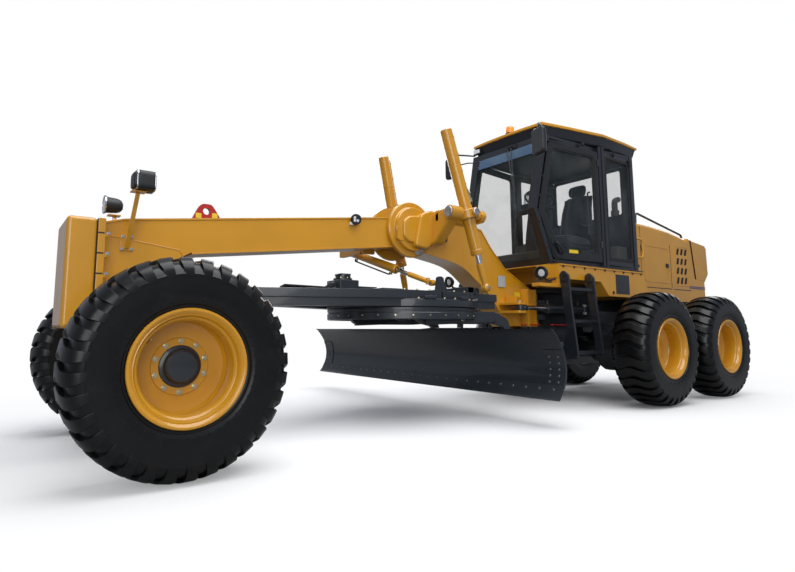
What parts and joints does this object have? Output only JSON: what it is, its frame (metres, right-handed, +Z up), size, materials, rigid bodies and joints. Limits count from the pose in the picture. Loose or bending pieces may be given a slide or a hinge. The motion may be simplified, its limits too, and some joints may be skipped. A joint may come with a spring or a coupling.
{
  "type": "motor grader",
  "caption": "Articulated motor grader with six wheels, leaning and steering front wheels, a drawbar, a turning circle, a shifting and tipping blade, and a glazed cab.",
  "frame": {"origin": "on the ground under the middle of the machine's bounding box, with the blade shifted to the right as it is parked; the machine's centreline is 0.699 m to the left of it", "axes": "+X forward along the machine, +Y to the machine's left, +Z up"},
  "size_m": [8.974, 4.27, 3.405],
  "materials": {
    "yellow_paint": "gloss yellow ochre paint",
    "dark_paint": "satin slate blue-black paint",
    "cab_black": "satin black paint",
    "tyre_rubber": "black rubber",
    "chrome": "hard chrome",
    "tinted_glass": "lightly tinted glass",
    "seat_cloth": "dark blue-grey cloth",
    "black_plastic": "moulded black plastic",
    "cast_iron": "painted cast iron"
  },
  "bodies": {
    "rear_frame": {"rear_frame": "dark_paint", "tandem_axle": "dark_paint", "engine": "cast_iron", "engine_hood": "yellow_paint", "cab_shell": "cab_black", "cab_roof": "yellow_paint", "windshield": "tinted_glass", "rear_window": "tinted_glass", "quarter_window_left": "tinted_glass", "quarter_window_right": "tinted_glass", "cab_platform": "yellow_paint", "operator_seat": "seat_cloth", "control_console": "black_plastic"},
    "front_frame": {"front_frame": "yellow_paint", "front_weight": "yellow_paint", "front_axle": "dark_paint", "lift_saddle": "yellow_paint"},
    "drawbar_ball": {"drawbar_ball": "dark_paint"},
    "drawbar": {"drawbar": "dark_paint", "circle_drive": "dark_paint"},
    "circle": {"circle": "dark_paint"},
    "blade_carrier": {"blade_carrier": "dark_paint"},
    "mouldboard": {"mouldboard": "dark_paint"},
    "lean_bar": {"lean_bar": "dark_paint"},
    "tie_rod": {"tie_rod": "dark_paint"},
    "shift_barrel": {"shift_barrel": "yellow_paint"},
    "shift_rod": {"shift_rod": "chrome"},
    "lean_bracket_left": {"lean_bracket_left": "dark_paint"},
    "knuckle_left": {"knuckle_left": "dark_paint"},
    "lift_yoke_left": {"lift_yoke_left": "yellow_paint"},
    "lift_barrel_left": {"lift_barrel_left": "yellow_paint"},
    "lift_rod_left": {"lift_rod_left": "chrome"},
    "turn_barrel_left": {"turn_barrel_left": "dark_paint"},
    "turn_rod_left": {"turn_rod_left": "chrome"},
    "hood_door_left": {"hood_door_left": "yellow_paint"},
    "cab_door_left": {"cab_door_left": "cab_black", "door_glass_left": "tinted_glass"},
    "wheel_front_left": {"tyre_front_left": "tyre_rubber", "rim_front_left": "yellow_paint"},
    "wheel_middle_left": {"tyre_middle_left": "tyre_rubber", "rim_middle_left": "yellow_paint"},
    "wheel_rear_left": {"tyre_rear_left": "tyre_rubber", "rim_rear_left": "yellow_paint"},
    "lean_bracket_right": {"lean_bracket_right": "dark_paint"},
    "knuckle_right": {"knuckle_right": "dark_paint"},
    "lift_yoke_right": {"lift_yoke_right": "yellow_paint"},
    "lift_barrel_right": {"lift_barrel_right": "yellow_paint"},
    "lift_rod_right": {"lift_rod_right": "chrome"},
    "turn_barrel_right": {"turn_barrel_right": "dark_paint"},
    "turn_rod_right": {"turn_rod_right": "chrome"},
    "hood_door_right": {"hood_door_right": "yellow_paint"},
    "cab_door_right": {"cab_door_right": "cab_black", "door_glass_right": "tinted_glass"},
    "wheel_front_right": {"tyre_front_right": "tyre_rubber", "rim_front_right": "yellow_paint"},
    "wheel_middle_right": {"tyre_middle_right": "tyre_rubber", "rim_middle_right": "yellow_paint"},
    "wheel_rear_right": {"tyre_rear_right": "tyre_rubber", "rim_rear_right": "yellow_paint"}
  },
  "joints": [
    {"name": "frame_articulation", "type": "hinge", "parent": "rear_frame", "child": "front_frame", "pos_m": [-0.827, 0.699, 1.145], "axis": [0, 0, 1], "range_deg": [-25, 25]},
    {"name": "turn_barrel_left_hinge", "type": "hinge", "parent": "rear_frame", "child": "turn_barrel_left", "pos_m": [-1.387, 1.099, 1.145], "axis": [0, 0, 1], "range_deg": [-18, 18]},
    {"name": "turn_rod_left_slide", "type": "slide", "parent": "turn_barrel_left", "child": "turn_rod_left", "axis": [1, 0, 0], "range_m": [-0.2, 0.2]},
    {"name": "turn_barrel_right_hinge", "type": "hinge", "parent": "rear_frame", "child": "turn_barrel_right", "pos_m": [-1.387, 0.299, 1.145], "axis": [0, 0, 1], "range_deg": [-18, 18]},
    {"name": "turn_rod_right_slide", "type": "slide", "parent": "turn_barrel_right", "child": "turn_rod_right", "axis": [1, 0, 0], "range_m": [-0.2, 0.2]},
    {"name": "wheel_lean", "type": "hinge", "parent": "front_frame", "child": "lean_bracket_left", "pos_m": [3.813, 1.399, 0.62], "axis": [1, 0, 0], "range_deg": [-17, 17]},
    {"name": "wheel_lean_right", "type": "hinge", "parent": "front_frame", "child": "lean_bracket_right", "pos_m": [3.813, -0.001, 0.62], "axis": [1, 0, 0], "range_deg": [-18, 18]},
    {"name": "lean_bar_hinge", "type": "hinge", "parent": "lean_bracket_left", "child": "lean_bar", "pos_m": [3.813, 1.399, 0.85], "axis": [1, 0, 0], "range_deg": [-18, 18]},
    {"name": "steering", "type": "hinge", "parent": "lean_bracket_left", "child": "knuckle_left", "pos_m": [3.813, 1.559, 0.674], "axis": [0, 0, 1], "range_deg": [-45, 45]},
    {"name": "steering_right", "type": "hinge", "parent": "lean_bracket_right", "child": "knuckle_right", "pos_m": [3.813, -0.161, 0.674], "axis": [0, 0, 1], "range_deg": [-46, 46]},
    {"name": "tie_rod_slide", "type": "slide", "parent": "front_frame", "child": "tie_rod", "axis": [0, 1, 0], "range_m": [-0.14, 0.14]},
    {"name": "wheel_front_left_spin", "type": "hinge", "parent": "knuckle_left", "child": "wheel_front_left", "pos_m": [3.813, 1.749, 0.674], "axis": [0, 1, 0], "continuous": true},
    {"name": "wheel_front_right_spin", "type": "hinge", "parent": "knuckle_right", "child": "wheel_front_right", "pos_m": [3.813, -0.351, 0.674], "axis": [0, 1, 0], "continuous": true},
    {"name": "wheel_middle_left_spin", "type": "hinge", "parent": "rear_frame", "child": "wheel_middle_left", "pos_m": [-1.767, 1.799, 0.674], "axis": [0, 1, 0], "continuous": true},
    {"name": "wheel_middle_right_spin", "type": "hinge", "parent": "rear_frame", "child": "wheel_middle_right", "pos_m": [-1.767, -0.401, 0.674], "axis": [0, 1, 0], "continuous": true},
    {"name": "wheel_rear_left_spin", "type": "hinge", "parent": "rear_frame", "child": "wheel_rear_left", "pos_m": [-3.287, 1.799, 0.674], "axis": [0, 1, 0], "continuous": true},
    {"name": "wheel_rear_right_spin", "type": "hinge", "parent": "rear_frame", "child": "wheel_rear_right", "pos_m": [-3.287, -0.401, 0.674], "axis": [0, 1, 0], "continuous": true},
    {"name": "drawbar_shift", "type": "hinge", "parent": "front_frame", "child": "drawbar_ball", "pos_m": [4.043, 0.699, 1.11], "axis": [0, 0, 1], "range_deg": [-7, 7]},
    {"name": "drawbar_lift", "type": "hinge", "parent": "drawbar_ball", "child": "drawbar", "pos_m": [4.043, 0.699, 1.11], "axis": [0, 1, 0], "range_deg": [-12, 2.5]},
    {"name": "lift_yoke_left_hinge", "type": "hinge", "parent": "front_frame", "child": "lift_yoke_left", "pos_m": [0.853, 1.299, 2.07], "axis": [1, 0, 0], "range_deg": [-35, 35]},
    {"name": "lift_barrel_left_hinge", "type": "hinge", "parent": "lift_yoke_left", "child": "lift_barrel_left", "pos_m": [0.853, 1.299, 2.07], "axis": [0, 1, 0], "range_deg": [-10.4, 3.75]},
    {"name": "lift_rod_left_slide", "type": "slide", "parent": "lift_barrel_left", "child": "lift_rod_left", "axis": [-0.2514, 0.0645, -0.9657], "range_m": [-0.16, 0.72]},
    {"name": "lift_yoke_right_hinge", "type": "hinge", "parent": "front_frame", "child": "lift_yoke_right", "pos_m": [0.853, 0.099, 2.07], "axis": [1, 0, 0], "range_deg": [-35, 35]},
    {"name": "lift_barrel_right_hinge", "type": "hinge", "parent": "lift_yoke_right", "child": "lift_barrel_right", "pos_m": [0.853, 0.099, 2.07], "axis": [0, 1, 0], "range_deg": [-10.4, 3.75]},
    {"name": "lift_rod_right_slide", "type": "slide", "parent": "lift_barrel_right", "child": "lift_rod_right", "axis": [-0.2514, -0.0645, -0.9657], "range_m": [-0.16, 0.72]},
    {"name": "shift_barrel_hinge", "type": "hinge", "parent": "front_frame", "child": "shift_barrel", "pos_m": [1.543, 0.129, 1.765], "axis": [0.975, 0.2075, -0.0789], "range_deg": [-23.84, 6.55]},
    {"name": "shift_rod_slide", "type": "slide", "parent": "shift_barrel", "child": "shift_rod", "axis": [-0.222, 0.9114, -0.3464], "range_m": [-0.32, 0.32]},
    {"name": "circle_turn", "type": "hinge", "parent": "drawbar", "child": "circle", "pos_m": [1.253, 0.699, 1.05], "axis": [0, 0, -1], "range_deg": [-40, 34]},
    {"name": "blade_tip", "type": "hinge", "parent": "circle", "child": "blade_carrier", "pos_m": [0.333, 0.699, 0.62], "axis": [0, 1, 0], "range_deg": [-8, 35]},
    {"name": "blade_shift", "type": "slide", "parent": "blade_carrier", "child": "mouldboard", "axis": [0, 1, 0], "range_m": [0, 1.3]},
    {"name": "cab_door_left_hinge", "type": "hinge", "parent": "rear_frame", "child": "cab_door_left", "pos_m": [-1.4047, 1.389, 2.4], "axis": [0, 0, 1], "range_deg": [0, 75]},
    {"name": "cab_door_right_hinge", "type": "hinge", "parent": "rear_frame", "child": "cab_door_right", "pos_m": [-1.4047, 0.009, 2.4], "axis": [0, 0, -1], "range_deg": [0, 75]},
    {"name": "hood_door_left_hinge", "type": "hinge", "parent": "rear_frame", "child": "hood_door_left", "pos_m": [-2.5793, 1.249, 1.8], "axis": [0, 0, -1], "range_deg": [0, 85]},
    {"name": "hood_door_right_hinge", "type": "hinge", "parent": "rear_frame", "child": "hood_door_right", "pos_m": [-2.5793, 0.149, 1.8], "axis": [0, 0, 1], "range_deg": [0, 85]}
  ],
  "couplings": [
    {"joint": "turn_barrel_left_hinge", "follows": "frame_articulation", "ratio": 0.54098},
    {"joint": "turn_rod_left_slide", "follows": "frame_articulation", "m_per_rad": -0.4},
    {"joint": "turn_barrel_right_hinge", "follows": "frame_articulation", "ratio": 0.54098},
    {"joint": "turn_rod_right_slide", "follows": "frame_articulation", "m_per_rad": 0.4},
    {"joint": "wheel_lean_right", "follows": "wheel_lean", "ratio": 1},
    {"joint": "lean_bar_hinge", "follows": "wheel_lean", "ratio": -1},
    {"joint": "steering_right", "follows": "steering", "ratio": 1},
    {"joint": "tie_rod_slide", "follows": "steering", "m_per_rad": -0.16},
    {"joint": "lift_yoke_left_hinge", "follows": "drawbar_shift", "ratio": -4.72},
    {"joint": "lift_barrel_left_hinge", "follows": "drawbar_lift", "ratio": 0.7},
    {"joint": "lift_rod_left_slide", "follows": "drawbar_lift", "m_per_rad": -3.32},
    {"joint": "lift_yoke_right_hinge", "follows": "drawbar_shift", "ratio": -4.72},
    {"joint": "lift_barrel_right_hinge", "follows": "drawbar_lift", "ratio": 0.7},
    {"joint": "lift_rod_right_slide", "follows": "drawbar_lift", "m_per_rad": -3.32},
    {"joint": "shift_barrel_hinge", "follows": "drawbar_lift", "ratio": 1.82},
    {"joint": "shift_rod_slide", "follows": "drawbar_shift", "m_per_rad": -2.3879}
  ]
}
